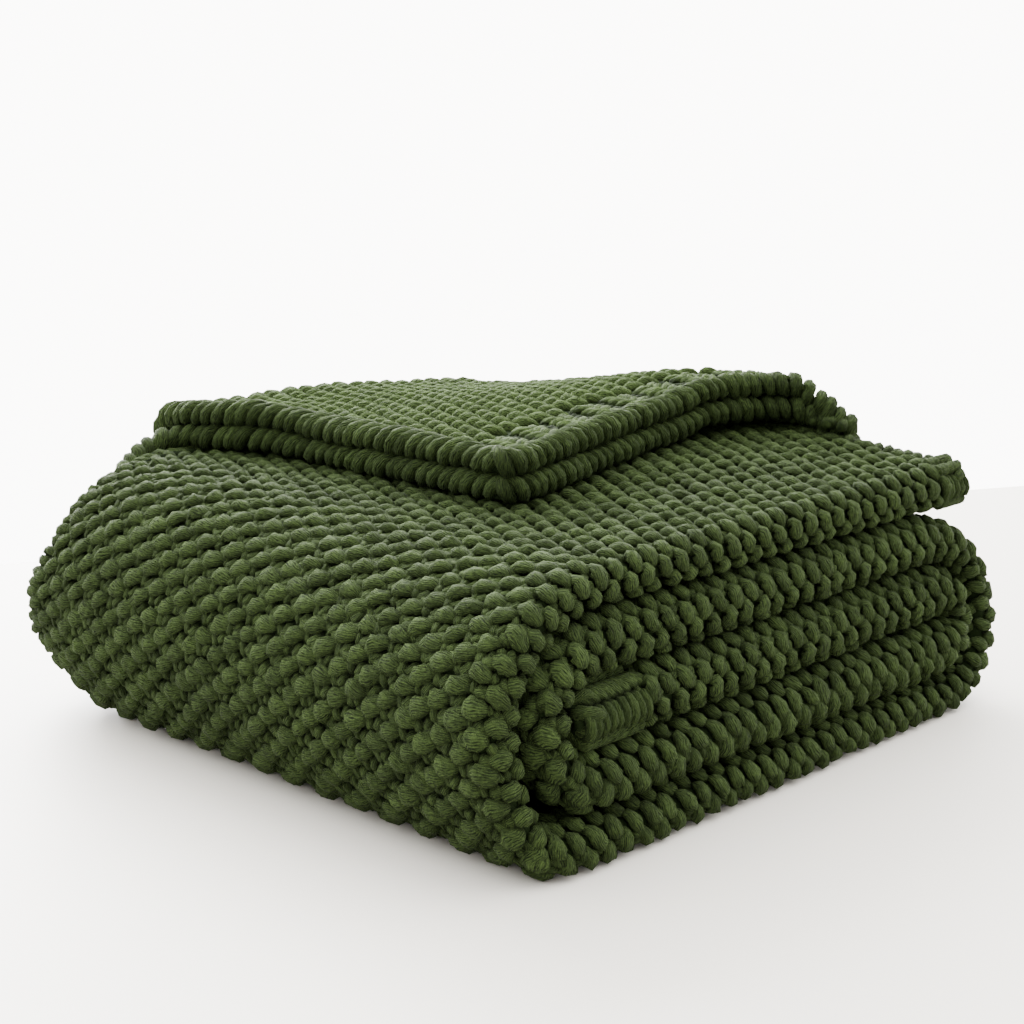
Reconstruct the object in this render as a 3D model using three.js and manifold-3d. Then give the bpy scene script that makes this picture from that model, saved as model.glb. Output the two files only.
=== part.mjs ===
// Folded knitted throw: one thick moss-stitch cloth, doubled into a strip, wound into a flat stack
// of five layers, with the open side of the top layer turned back over the stack as a flap.
// Millimetres, +Z up. X runs along the long side of the stack, Y from the rounded front folds to the
// open back, and the origin is under the middle of the finished stack, on the surface it rests on.

import * as THREE from 'three';
import { mergeVertices } from 'three/addons/utils/BufferGeometryUtils.js';
import Module from 'manifold-3d';

const wasm = await Module();
wasm.setup();

// Cloth
const ply = 11.6;                // thickness of the knitted cloth
const stripWidth = 354;          // from the front fold to the open back edges
const rimPinch = 0.72;           // share of the thickness left at a hem or an edge
const layerAir = 0.9;            // air between one layer and the next
const plyAir = 1.0;              // least air between the two plies of a layer
const flatUnder = 0.1;           // what is lower than this lies flat on the surface

// Layers of the doubled strip from the bottom up. A layer is as thick as it is squashed or puffed up,
// and its front fold sits back from the others by setBack at its left end.
const layers = {
  E: { leftX: 8, rightX: 298, leftThick: 21.0, rightThick: 18.4, setBack: 0 },
  D: { leftX: 42, rightX: 304, leftThick: 24.2, rightThick: 28.4, setBack: 0 },
  C: { leftX: 47, rightX: 304, leftThick: 26.8, rightThick: 28.0, setBack: 1 },
  B: { leftX: 61, rightX: 298, leftThick: 26.0, rightThick: 24.4, setBack: 4 },
  A: { leftX: 64, rightX: 350, leftThick: 20.8, rightThick: 24.6, setBack: 6 },
};
const layerSteps = 9;

// Turns from one layer into the next: the outermost point of the middle line, with its thickness
const turns = {
  leftOuter: { from: 'A', to: 'E', side: 'left', x: -12.5, z: 50, thick: 22.6, setBack: 3, steps: 7 },
  rightOuter: { from: 'E', to: 'B', side: 'right', x: 355, z: 52, thick: 20.4, setBack: 1, steps: 6 },
  leftInner: { from: 'B', to: 'D', side: 'left', x: 15.2, z: 57, thick: 22.4, setBack: 3, steps: 6 },
  rightInner: { from: 'D', to: 'C', side: 'right', x: 330, z: 48.2, thick: 19.2, setBack: 0, steps: 6 },
};
const turnSquareness = 2.2;      // 2 is an ellipse, more is squarer
const leastStep = 0.5;           // places closer than this on the middle line are one place

// Places across the strip, as shares of a leg, and the steps round its front fold
const legStations = [0, 0.03, 0.16, 0.4, 0.72, 1];
const foldSteps = 5;

// The flap: both plies of the top layer go on round a back fold and forward over the stack
const flapRoots = [26, 13, 2];   // its plies start inside the legs of the top layer, this far from
const rootPinch = 0.85;          // their back edges, a little thinner than the cloth round them
const flapAir = 1.7;             // air under each ply of the flap
const flapBackLeftX = 80;        // left end of the back fold
const flapLeftX = 106;           // the flap's left edge along most of its length
const flapLeftCurve = 90;        // length over which the left edge runs out to the back fold
const flapRightX = { lower: 352, upper: 358 };
const flapCornerRadius = 15;
const flapArch = { x: 306, reach: 46, height: 4.4, within: 0.6 };    // open arch near its right end
const flapLift = { x: 92, y: 300, reach: 40, height: 5 };            // and a lower one at the back left
const flapDroop = { fromX: 330, length: 26, depth: 12 };             // its right end hangs down
const flapSteps = 13;
const flapFoldSteps = { lower: 6, upper: 8 };
const flapForward = [0.08, 0.2, 0.36, 0.54, 0.72, 0.87, 0.97, 1];    // shares of the way to the front

// The flap's front edge
const flapFront = [
  { x: 60, y: 101 }, { x: 106, y: 101 }, { x: 190, y: 115 }, { x: 270, y: 124 },
  { x: 315, y: 118 }, { x: 340, y: 100 }, { x: 358, y: 74 },
];

// How the whole stack leans, swells and slumps. Each change starts at fromX and fromY and is full
// after spanX and spanY, and it grows with height up to topZ.
const topZ = 125;
const lean = { perMm: 0.23, from: 65 };                    // upper layers sit back from lower ones
const swell = { fromX: 110, spanX: 160, fromY: 15, spanY: 80, height: 4.5 };
const sag = { fromX: 150, spanX: 210, fromY: 150, spanY: 200, share: 0.14 };
const shoulder = { x: 20, reach: 62, fromY: 90, spanY: 200, height: 7 };
const corner = { x: -24, reach: 24, setBack: 7 };          // the near corner is rounded off

// The back of the left end is drawn in: towards height z, inwards along X, and forward above z
const leftEnd = { fromX: 24, spanX: 80, fromY: 296, spanY: 58, z: 56 };
const drawnIn = { lift: 0.42, drop: 0.05, inwards: 6, forward: 0.035, forwardOver: 45 };

const clothColour = 0x46602f;

const { sin, cos, abs, sqrt, PI, min, max, exp } = Math;
const clamp01 = (t) => min(1, max(0, t));
const smooth = (t) => clamp01(t) ** 2 * (3 - 2 * clamp01(t));
const mix = (a, b, t) => a + (b - a) * t;

// Height through a table of rows with x and y, smooth between them
function through(rows, x) {
  const last = rows.length - 1;
  let k = 0;
  while (k < last - 1 && x > rows[k + 1].x) k += 1;
  const a = rows[k];
  const b = rows[k + 1];
  const slopeAt = (n) => {
    const p = rows[max(0, n - 1)];
    const q = rows[min(last, n + 1)];
    return (q.y - p.y) / (q.x - p.x);
  };
  const w = b.x - a.x;
  const t = clamp01((x - a.x) / w);
  const h = t * t * (3 - 2 * t);
  return mix(a.y, b.y, h) + w * (slopeAt(k) * t * (1 - t) ** 2 - slopeAt(k + 1) * t * t * (1 - t));
}

// Height of the middle of each layer's two ends, stacked from the bottom up
function stackLayers() {
  let leftZ = 0;
  let rightZ = 0;
  for (const layer of Object.values(layers)) {
    layer.leftZ = leftZ + layer.leftThick / 2;
    layer.rightZ = rightZ + layer.rightThick / 2;
    leftZ += layer.leftThick + layerAir;
    rightZ += layer.rightThick + layerAir;
  }
}

// A quarter of a squared ellipse from the end of a layer, running along x, to the turn's outermost point.
// Each place on the middle line has x, z, the thickness of the doubled strip and how far its front
// fold sits back.
function quarter(layer, turn) {
  const places = [];
  for (let k = 0; k <= turn.steps; k += 1) {
    const a = (k / turn.steps) * (PI / 2);
    places.push({
      x: mix(layer[`${turn.side}X`], turn.x, sin(a) ** (2 / turnSquareness)),
      z: mix(turn.z, layer[`${turn.side}Z`], cos(a) ** (2 / turnSquareness)),
      thick: mix(layer[`${turn.side}Thick`], turn.thick, k / turn.steps),
      setBack: mix(turn.side === 'left' ? layer.setBack : 0, turn.setBack, k / turn.steps),
    });
  }
  return places;
}

// The middle line of the strip in the XZ plane, from the hem at the top right to the hem inside
function middleLine() {
  const line = [];
  const add = (places) => places.forEach((p) => {
    const q = line[line.length - 1];
    if (!q || abs(p.x - q.x) + abs(p.z - q.z) > leastStep) line.push(p);
  });
  const addLayer = (layer, leftwards) => {
    for (let k = 0; k <= layerSteps; k += 1) {
      const t = leftwards ? 1 - k / layerSteps : k / layerSteps;
      add([{
        x: mix(layer.leftX, layer.rightX, t),
        z: mix(layer.leftZ, layer.rightZ, t),
        thick: mix(layer.leftThick, layer.rightThick, t),
        setBack: layer.setBack * (1 - t),
      }]);
    }
  };
  const addTurn = (turn) => {
    add(quarter(layers[turn.from], turn));
    add(quarter(layers[turn.to], turn).reverse());
  };
  addLayer(layers.A, true);
  addTurn(turns.leftOuter);
  addLayer(layers.E, false);
  addTurn(turns.rightOuter);
  addLayer(layers.B, true);
  addTurn(turns.leftInner);
  addLayer(layers.D, false);
  addTurn(turns.rightInner);
  addLayer(layers.C, true);
  return line;
}

// Across the strip: along one ply from its open edge, round the front fold and back along the other.
// Each place has the share of the leg's length behind the fold, the angle round the fold and the
// share of the cloth's thickness there.
function acrossStrip() {
  const places = [];
  for (const s of legStations) places.push({ leg: 1 - s, angle: 0, share: s === 0 ? rimPinch : 1 });
  for (let k = 1; k < foldSteps; k += 1) places.push({ leg: 0, angle: (k / foldSteps) * PI, share: 1 });
  for (const s of [...legStations].reverse()) {
    places.push({ leg: 1 - s, angle: PI, share: s === 0 ? rimPinch : 1 });
  }
  return places;
}

// The lean, swell and slump of the whole stack
function settle(p) {
  const within = (change) => smooth((p.x - change.fromX) / change.spanX)
    * smooth((p.y - change.fromY) / change.spanY);
  const bump = (change) => exp(-(((p.x - change.x) / change.reach) ** 2));
  const rise = swell.height * within(swell)
    + shoulder.height * bump(shoulder) * smooth((p.y - shoulder.fromY) / shoulder.spanY);
  const height = smooth(p.z / topZ);
  const z = (p.z + rise * height) * (1 - sag.share * within(sag) * height);
  const left = 1 - smooth((p.x - leftEnd.fromX) / leftEnd.spanX);
  const end = left * clamp01((p.y - leftEnd.fromY) / leftEnd.spanY) ** 2;
  const forward = drawnIn.forward * left * smooth((z - leftEnd.z) / drawnIn.forwardOver);
  const front = 1 - clamp01(p.y / stripWidth);
  return new THREE.Vector3(
    p.x + drawnIn.inwards * end,
    p.y * (1 - forward) + front * (lean.perMm * (p.z - lean.from) + corner.setBack * bump(corner)),
    z < flatUnder && end === 0 ? 0 : mix(z, leftEnd.z, end * (z < leftEnd.z ? drawnIn.lift : drawnIn.drop)),
  );
}

// A closed body between two grids of points, the second one on the other side of the cloth. The two
// halves of the grid are cut into triangles as mirror images, so that facing plies lie parallel.
function clothBody(faces) {
  const nu = faces[0].length;
  const nv = faces[0][0].length;
  const indices = [];
  const id = (face, i, j) => (face * nu + i) * nv + j;
  const quad = (a, b, c, d) => indices.push(a, b, c, a, c, d);
  for (let i = 0; i < nu - 1; i += 1) {
    for (let j = 0; j < nv - 1; j += 1) {
      const outside = [id(0, i, j), id(0, i + 1, j), id(0, i + 1, j + 1), id(0, i, j + 1)];
      const inside = [id(1, i, j), id(1, i, j + 1), id(1, i + 1, j + 1), id(1, i + 1, j)];
      for (const [p, q, r, s] of [outside, inside]) {
        if (j < (nv - 1) / 2) quad(p, q, r, s);
        else quad(q, r, s, p);
      }
    }
  }
  for (let i = 0; i < nu - 1; i += 1) {
    quad(id(0, i + 1, 0), id(0, i, 0), id(1, i, 0), id(1, i + 1, 0));
    quad(id(0, i, nv - 1), id(0, i + 1, nv - 1), id(1, i + 1, nv - 1), id(1, i, nv - 1));
  }
  for (let j = 0; j < nv - 1; j += 1) {
    quad(id(0, 0, j), id(0, 0, j + 1), id(1, 0, j + 1), id(1, 0, j));
    quad(id(0, nu - 1, j + 1), id(0, nu - 1, j), id(1, nu - 1, j), id(1, nu - 1, j + 1));
  }
  const geometry = new THREE.BufferGeometry();
  const positions = faces.flat(2).flatMap((p) => [p.x, p.y, p.z]);
  geometry.setAttribute('position', new THREE.Float32BufferAttribute(positions, 3));
  geometry.setIndex(indices);
  return geometry;
}

// Thickness of the cloth where the doubled strip is squashed or puffed up
function clothAt(place) {
  return min(ply, (place.thick - plyAir) / 2);
}

// The direction out of the middle line, halfway between the normals of the two steps that meet there
function outwards(line, i) {
  const out = new THREE.Vector2();
  for (const k of [max(1, i), min(line.length - 1, i + 1)]) {
    const step = new THREE.Vector2(line[k].z - line[k - 1].z, line[k - 1].x - line[k].x);
    out.add(step.normalize());
  }
  return out.normalize();
}

// The doubled strip, wound along its middle line: the outside of the cloth and the inside between
// its plies lie on either side of the legs, and on circles round the middle of the front fold
function strip() {
  const line = middleLine();
  const places = acrossStrip();
  const surface = (face) => line.map((at, i) => {
    const out = outwards(line, i);
    const cloth = clothAt(at);
    const side = (at.thick - cloth) / 2;
    const end = i === 0 || i === line.length - 1 ? rimPinch : 1;
    return places.map((c) => {
      const off = side + (face * cloth * c.share * end) / 2;
      return settle({
        x: at.x + out.x * off * cos(c.angle),
        y: mix(side + at.setBack, stripWidth, c.leg) - off * sin(c.angle),
        z: at.z + out.y * off * cos(c.angle),
      });
    });
  });
  return clothBody([surface(1), surface(-1)]);
}

// The top layer under the flap at some x: the height of its middle line, and its thickness
function topLayerAt(x) {
  const { leftX, leftZ, leftThick, rightX, rightZ, rightThick } = layers.A;
  const t = (x - leftX) / (rightX - leftX);
  return { z: mix(leftZ, rightZ, t), thick: mix(leftThick, rightThick, t) };
}

// The flap's front edge at some x, with its left corner rounded off
function flapFrontAt(x) {
  const fromCorner = min(flapCornerRadius, x - flapLeftX);
  const cut = flapCornerRadius - sqrt(flapCornerRadius ** 2 - (flapCornerRadius - fromCorner) ** 2);
  return through(flapFront, x) + cut;
}

// One ply of the flap: out of a leg of the top layer, round the back fold and forward to its edge.
// The lower leg becomes the upper ply, so it makes the wider turn.
function flapPly(name) {
  const order = name === 'upper' ? 1 : 0;
  const radius = (ply + flapAir) * (0.5 + order) + order * ((layers.A.leftThick - ply) / 2);
  const foldTurns = flapFoldSteps[name];
  const acrossAt = (u) => {
    const frontY = flapFrontAt(mix(flapLeftX, flapRightX[name], u));
    const places = flapRoots.map((back) => ({ y: stripWidth - back, angle: 0, w: 0, share: rootPinch }));
    for (let k = 0; k <= foldTurns; k += 1) {
      const angle = (k / foldTurns) * PI;
      places.push({ y: stripWidth + radius * sin(angle), angle, w: 0, share: 1 });
    }
    for (const w of flapForward) {
      places.push({ y: mix(stripWidth, frontY, w), angle: PI, w, share: w === 1 ? rimPinch : 1 });
    }
    return places;
  };
  const pointAt = (face, u, { y, angle, w, share }) => {
    const runOut = smooth((y - (stripWidth - flapLeftCurve)) / flapLeftCurve);
    const x = mix(mix(flapLeftX, flapBackLeftX, runOut), flapRightX[name], u);
    const top = topLayerAt(x);
    const leg = (top.thick - clothAt(top)) / 2;
    const legZ = top.z + (order ? -leg : leg);
    const restZ = top.z + top.thick / 2 - ply / 2 + (ply + flapAir) * (1 + order);
    const arch = flapArch.height * exp(-(((x - flapArch.x) / flapArch.reach) ** 4))
      * smooth(w / flapArch.within);
    const lift = flapLift.height
      * exp(-(((x - flapLift.x) / flapLift.reach) ** 2) - (((y - flapLift.y) / flapLift.reach) ** 2));
    const droop = order * flapDroop.depth * smooth((x - flapDroop.fromX) / flapDroop.length);
    const off = (face * (angle ? ply : clothAt(top)) * share * (u === 0 || u === 1 ? rimPinch : 1)) / 2;
    return settle({
      x,
      y: y - off * sin(angle),
      z: mix(legZ, restZ, (1 - cos(angle)) / 2) + (w > 0 ? arch + lift - droop : 0) + off * cos(angle),
    });
  };
  const surface = (face) => Array.from({ length: flapSteps + 1 }, (_, i) => {
    const u = i / flapSteps;
    return acrossAt(u).map((place) => pointAt(face, u, place));
  });
  return clothBody([surface(1), surface(-1)]);
}

function toSolid(geometry) {
  const merged = mergeVertices(geometry, 1e-4);
  return new wasm.Manifold(new wasm.Mesh({
    numProp: 3,
    vertProperties: new Float32Array(merged.attributes.position.array),
    triVerts: new Uint32Array(merged.index.array),
  }));
}

function toGeometry(solid) {
  const mesh = solid.getMesh();
  const geometry = new THREE.BufferGeometry();
  geometry.setAttribute('position', new THREE.Float32BufferAttribute(mesh.vertProperties, 3));
  geometry.setIndex([...mesh.triVerts]);
  return geometry;
}

function blanket() {
  stackLayers();
  const whole = toSolid(strip()).add(toSolid(flapPly('lower'))).add(toSolid(flapPly('upper')));
  const geometry = toGeometry(whole);
  geometry.computeBoundingBox();
  const box = geometry.boundingBox;
  geometry.translate(-(box.min.x + box.max.x) / 2, -(box.min.y + box.max.y) / 2, -box.min.z);
  const material = new THREE.MeshStandardMaterial({ color: clothColour, roughness: 0.95, metalness: 0 });
  const mesh = new THREE.Mesh(geometry, material);
  mesh.name = 'blanket';
  return mesh;
}

const group = new THREE.Group();
group.add(blanket());

export default group;
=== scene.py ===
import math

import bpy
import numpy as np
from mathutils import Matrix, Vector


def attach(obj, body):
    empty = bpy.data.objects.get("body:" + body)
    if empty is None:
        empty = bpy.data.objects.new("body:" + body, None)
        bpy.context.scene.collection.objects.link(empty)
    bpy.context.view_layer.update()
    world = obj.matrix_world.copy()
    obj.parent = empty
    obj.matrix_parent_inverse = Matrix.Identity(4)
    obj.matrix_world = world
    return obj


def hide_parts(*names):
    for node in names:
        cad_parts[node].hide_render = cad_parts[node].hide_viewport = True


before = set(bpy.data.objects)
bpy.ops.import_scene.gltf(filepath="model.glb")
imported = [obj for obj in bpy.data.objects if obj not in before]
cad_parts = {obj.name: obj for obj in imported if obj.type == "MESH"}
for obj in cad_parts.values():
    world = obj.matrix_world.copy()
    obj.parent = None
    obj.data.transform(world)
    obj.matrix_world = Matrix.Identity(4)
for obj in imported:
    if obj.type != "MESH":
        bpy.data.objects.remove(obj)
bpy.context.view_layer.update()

# Folded throw, knitted in moss stitch from chunky deep-green cotton yarn. A thin knitted ground lies
# in the folds of the cloth, and every stitch that shows is a loop of yarn set on it. Lengths are in
# millimetres up to the last step, which moves them into the frame and into metres.

# The folded cloth

MM = 0.001                # metres
CENTIMETRE = 10.0
PLY = 11.6                # thickness of the knitted cloth
PLY_AIR = 1.0             # least air between the two plies of a layer
LAYER_AIR = 0.9           # air between one layer and the next
STRIP_WIDTH = 354.0       # from the front fold to the open back edges
SQUARENESS = 2.2          # of the turns between layers: 2 is an ellipse, more is squarer
TOP_Z = 125.0             # the stack's settling grows up to this height
STACK_MIDDLE = (170.4, 183.035)     # x and y of the frame's origin

# Layers of the doubled strip from the bottom up
LAYERS = {
    "E": {"left_x": 8.0, "right_x": 298.0, "left_thick": 21.0, "right_thick": 18.4, "set_back": 0.0},
    "D": {"left_x": 31.0, "right_x": 304.0, "left_thick": 24.2, "right_thick": 28.4, "set_back": 0.0},
    "C": {"left_x": 29.0, "right_x": 304.0, "left_thick": 26.8, "right_thick": 28.0, "set_back": 1.0},
    "B": {"left_x": 61.0, "right_x": 298.0, "left_thick": 26.0, "right_thick": 24.4, "set_back": 4.0},
    "A": {"left_x": 64.0, "right_x": 350.0, "left_thick": 20.8, "right_thick": 24.6, "set_back": 6.0},
}
TOP_LAYER = LAYERS["A"]

# Turns from one layer into the next, in their order along the strip
TURNS = [
    {"from": "A", "to": "E", "side": "left",
     "x": -12.5, "z": 50.0, "thick": 22.6, "set_back": 3.0},
    {"from": "E", "to": "B", "side": "right",
     "x": 355.0, "z": 52.0, "thick": 20.4, "set_back": 1.0},
    {"from": "B", "to": "D", "side": "left",
     "x": 15.2, "z": 57.0, "thick": 22.4, "set_back": 3.0},
    {"from": "D", "to": "C", "side": "right",
     "x": 330.0, "z": 48.2, "thick": 19.2, "set_back": 0.0},
]
RUN_PLACES = 81           # on a layer's run, before the places are evenly spaced
QUARTER_PLACES = 41       # and on a quarter of a turn
LEAST_STEP = 0.02         # places closer than this are one place
LINE_STEP = 1.5           # spacing of places on the middle line
SOFTENED_OVER = 4         # its direction is an average over so many places on either side

# How the whole stack leans, swells and slumps: upper layers sit back from lower ones, the middle of
# the top stands higher and its back right lower, the left has a raised shoulder, the near corner is
# rounded off, and the back of the left end is drawn in towards a height z
LEAN = {"per_mm": 0.23, "from": 65.0}
SWELL = {"from_x": 110.0, "span_x": 160.0, "from_y": 15.0, "span_y": 80.0, "height": 4.5}
SAG = {"from_x": 150.0, "span_x": 210.0, "from_y": 150.0, "span_y": 200.0, "share": 0.14}
SHOULDER = {"x": 20.0, "reach": 62.0, "from_y": 90.0, "span_y": 200.0, "height": 7.0}
CORNER = {"x": -24.0, "reach": 24.0, "set_back": 7.0}
LEFT_END = {"from_x": 24.0, "span_x": 80.0, "from_y": 296.0, "span_y": 58.0, "z": 56.0}
DRAWN_IN = {"lift": 0.42, "drop": 0.05, "inwards": 6.0, "forward": 0.035, "forward_over": 45.0}

# The flap: both plies of the top layer go on round a back fold and forward over the stack. Its left
# edge runs out to the back fold, and the lower ply's sweeps further round it. It slopes down past the
# stack's left side. An open arch stands at its front right and a low one at its back left, its back
# is pressed down a little, and its right end hangs down.
FLAP_PLIES = {"lower": 0, "upper": 1}
FLAP_AIR = 1.7            # air under each of its plies
FLAP_LEFT = {"x": 106.0, "back_x": 86.0, "curve": 90.0, "corner": 15.0}
FLAP_RIGHT_X = {"lower": 350.0, "upper": 353.0}
FLAP_SWEEP = {"lower": 54.0, "upper": 0.0, "before": 12.0}
FLAP_SLOPE = {"from_x": 64.0, "reach": 76.5, "most": 0.95, "height": 66.0}
FLAP_ARCH = {"x": 312.0, "reach": 42.0, "height": 5.0, "from": 0.5, "within": 0.45}
FLAP_LIFT = {"x": 92.0, "y": 300.0, "reach": 40.0, "height": 5.0}
FLAP_DENT = {"x": 185.0, "reach": 112.0, "from_y": 180.0, "span_y": 150.0, "depth": 5.2}
FLAP_DROOP = {"from_x": 336.5, "back_x": 306.0, "to_x": 354.5, "from_y": 110.0, "span_y": 90.0,
              "lower": 12.0, "upper": 24.0}
FLAP_FRONT_X = np.array([60.0, 106.0, 190.0, 270.0, 315.0, 338.0, 353.0])
FLAP_FRONT_Y = np.array([101.0, 101.0, 115.0, 124.0, 118.0, 96.0, 65.0])


def mix(a, b, t):
    """From a at t = 0 to b at t = 1, in proportion to t."""
    return a + (b - a) * t


def smooth(t):
    """0 up to t = 0, 1 from t = 1, and three t squared less two t cubed between."""
    t = np.clip(t, 0.0, 1.0)
    return t * t * (3.0 - 2.0 * t)


def bell(x, middle, reach, power=2):
    """1 at the middle, falling as e to the minus (distance over reach) to the power."""
    return np.exp(-np.abs((x - middle) / reach) ** power)


def unit(vectors):
    """The vectors along the last axis, divided by their lengths."""
    return vectors / np.linalg.norm(vectors, axis=-1, keepdims=True)


def ply_off(thick):
    """From the middle of a layer to the middle of either ply: half of what one ply leaves of the
    layer. A ply is as thick as the cloth, or half of the layer less the air if that is thinner."""
    return (thick - np.minimum(PLY, (thick - PLY_AIR) / 2)) / 2


def fold_arc(thick):
    """Half of the arc round a front fold: a quarter of a turn at half the layer's thickness."""
    return math.pi / 4 * thick


def layer_ends():
    """Height of each layer's middle at its left and right ends: all that is piled up below it, and
    half of its own thickness."""
    ends = {}
    below = {"left": 0.0, "right": 0.0}
    for name, layer in LAYERS.items():
        ends[name] = {side: below[side] + layer[side + "_thick"] / 2 for side in below}
        below = {side: below[side] + layer[side + "_thick"] + LAYER_AIR for side in below}
    return ends


LAYER_ENDS = layer_ends()


def layer_run(name, leftwards):
    """A layer's run as rows of x, z, thickness and set-back, all in proportion to the way from its
    left end to its right end, or back."""
    layer = LAYERS[name]
    ends = LAYER_ENDS[name]
    t = np.linspace(0.0, 1.0, RUN_PLACES)
    t = 1.0 - t if leftwards else t
    return np.stack([
        mix(layer["left_x"], layer["right_x"], t),
        mix(ends["left"], ends["right"], t),
        mix(layer["left_thick"], layer["right_thick"], t),
        layer["set_back"] * (1.0 - t),
    ])


def quarter_turn(name, turn):
    """The same rows for a quarter of a turn, from a layer's end to the outermost place: a squared
    ellipse, along x the sine and along z the cosine of the angle, each to the power two over the
    squareness."""
    layer = LAYERS[name]
    side = turn["side"]
    t = np.linspace(0.0, 1.0, QUARTER_PLACES)
    angle = t * math.pi / 2
    power = 2.0 / SQUARENESS
    start = layer["set_back"] if side == "left" else 0.0
    return np.stack([
        mix(layer[side + "_x"], turn["x"], np.sin(angle) ** power),
        mix(turn["z"], LAYER_ENDS[name][side], np.abs(np.cos(angle)) ** power),
        mix(layer[side + "_thick"], turn["thick"], t),
        mix(start, turn["set_back"], t),
    ])


def steps_along(rows):
    """Distances from each place to the next, as the root of the squares of their steps in x and z."""
    return np.hypot(np.diff(rows[0]), np.diff(rows[1]))


def middle_line():
    """Middle line of the doubled strip, seen from the front, from the hem on top to the hem inside:
    the layers' runs, joined by two quarters for each turn. Places are evenly spaced, each with its
    thickness, its set-back and the direction out of the coil, which is the line's softened direction
    turned a quarter. The second value is the list of lengths at which its parts end."""
    parts = [layer_run("A", True)]
    leftwards = True
    for turn in TURNS:
        parts.append(quarter_turn(turn["from"], turn))
        parts.append(quarter_turn(turn["to"], turn)[:, ::-1])
        leftwards = not leftwards
        parts.append(layer_run(turn["to"], leftwards))
    parts_end = np.cumsum([steps_along(part).sum() for part in parts])
    rows = np.concatenate(parts, axis=1)
    rows = rows[:, np.concatenate([[True], steps_along(rows) > LEAST_STEP])]
    gone = np.concatenate([[0.0], np.cumsum(steps_along(rows))])
    s = np.arange(0.0, gone[-1], LINE_STEP)
    line = {key: np.interp(s, gone, row) for key, row in zip(("x", "z", "thick", "set_back"), rows)}
    shares = np.ones(2 * SOFTENED_OVER + 1) / (2 * SOFTENED_OVER + 1)
    steps = [np.pad(np.gradient(line[key]), SOFTENED_OVER, mode="edge") for key in ("x", "z")]
    step_x, step_z = (np.convolve(step, shares, mode="valid") for step in steps)
    length = np.hypot(step_x, step_z)
    line["out_x"] = step_z / length
    line["out_z"] = -step_x / length
    line["s"] = s
    return line, parts_end


LINE, PARTS_END = middle_line()
LINE_END = LINE["s"][-1]

# Lengths along the strip where the runs of the outer layers begin and end, past a turn's two quarters
SPAN = {
    "A": (0.0, PARTS_END[0]),
    "E": (PARTS_END[2], PARTS_END[3]),
    "B": (PARTS_END[5], PARTS_END[6]),
}


def line_at(s):
    """The middle line's columns at lengths s, in proportion between its places."""
    return {key: np.interp(s, LINE["s"], LINE[key]) for key in LINE}


def set_in(change, x, y):
    """How far a change of the stack has set in: its smooth step along x times that along y."""
    return (smooth((x - change["from_x"]) / change["span_x"])
            * smooth((y - change["from_y"]) / change["span_y"]))


def settle(x, y, z):
    """The whole stack settled: its layers lean back by height, its top swells and sags in broad smooth
    humps, its near corner is rounded off by a bell, and the back of its left end is drawn in by the
    square of the way to its back."""
    rise = (SWELL["height"] * set_in(SWELL, x, y)
            + SHOULDER["height"] * bell(x, SHOULDER["x"], SHOULDER["reach"])
            * smooth((y - SHOULDER["from_y"]) / SHOULDER["span_y"]))
    height = smooth(z / TOP_Z)
    z = (z + rise * height) * (1.0 - SAG["share"] * set_in(SAG, x, y) * height)
    left = 1.0 - smooth((x - LEFT_END["from_x"]) / LEFT_END["span_x"])
    end = left * np.clip((y - LEFT_END["from_y"]) / LEFT_END["span_y"], 0.0, 1.0) ** 2
    forward = DRAWN_IN["forward"] * left * smooth((z - LEFT_END["z"]) / DRAWN_IN["forward_over"])
    front = 1.0 - np.clip(y / STRIP_WIDTH, 0.0, 1.0)
    rounded = CORNER["set_back"] * bell(x, CORNER["x"], CORNER["reach"])
    drawn = end * np.where(z < LEFT_END["z"], DRAWN_IN["lift"], DRAWN_IN["drop"])
    return np.stack([
        x + DRAWN_IN["inwards"] * end,
        y * (1.0 - forward) + front * (LEAN["per_mm"] * (z - LEAN["from"]) + rounded),
        mix(z, LEFT_END["z"], drawn),
    ], axis=-1)


def strip_place(at, behind, angle, off):
    """A place off the middle of the strip: off mm out of it, turned by angle round the front fold
    (0 is the outer ply, half a turn the inner ply), and behind mm behind the middle of the fold."""
    out = off * np.cos(angle)
    return settle(
        at["x"] + at["out_x"] * out,
        ply_off(at["thick"]) + at["set_back"] + behind - off * np.sin(angle),
        at["z"] + at["out_z"] * out,
    )


def on_strip(s, v, n):
    """The outside of the strip: s along it, v round its front fold from the foremost line (the outer
    ply is positive), and n out of the cloth. Up to the end of the fold's arc, v is a length on it.
    Past that it is the length behind it."""
    at = line_at(s)
    arc = fold_arc(at["thick"])
    angle = np.clip(math.pi / 2 * (1.0 - v / arc), 0.0, math.pi)
    behind = np.maximum(np.abs(v) - arc, 0.0)
    return strip_place(at, behind, angle, at["thick"] / 2 + n)


def flap_front(x):
    """The front edge of the flap at some x: a cubic from place to place, whose slope at each is that
    between its neighbours, and a quarter circle at the left corner."""
    last = len(FLAP_FRONT_X) - 1
    k = np.clip(np.searchsorted(FLAP_FRONT_X, x) - 1, 0, last - 1)
    before = np.maximum(np.arange(last + 1) - 1, 0)
    after = np.minimum(np.arange(last + 1) + 1, last)
    slopes = (FLAP_FRONT_Y[after] - FLAP_FRONT_Y[before]) / (FLAP_FRONT_X[after] - FLAP_FRONT_X[before])
    width = FLAP_FRONT_X[k + 1] - FLAP_FRONT_X[k]
    t = np.clip((x - FLAP_FRONT_X[k]) / width, 0.0, 1.0)
    y = (mix(FLAP_FRONT_Y[k], FLAP_FRONT_Y[k + 1], smooth(t))
         + width * (slopes[k] * t * (1 - t) ** 2 - slopes[k + 1] * t * t * (1 - t)))
    radius = FLAP_LEFT["corner"]
    inside = np.clip(x - FLAP_LEFT["x"], 0.0, radius)
    return y + radius - np.sqrt(radius * radius - (radius - inside) ** 2)


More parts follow.
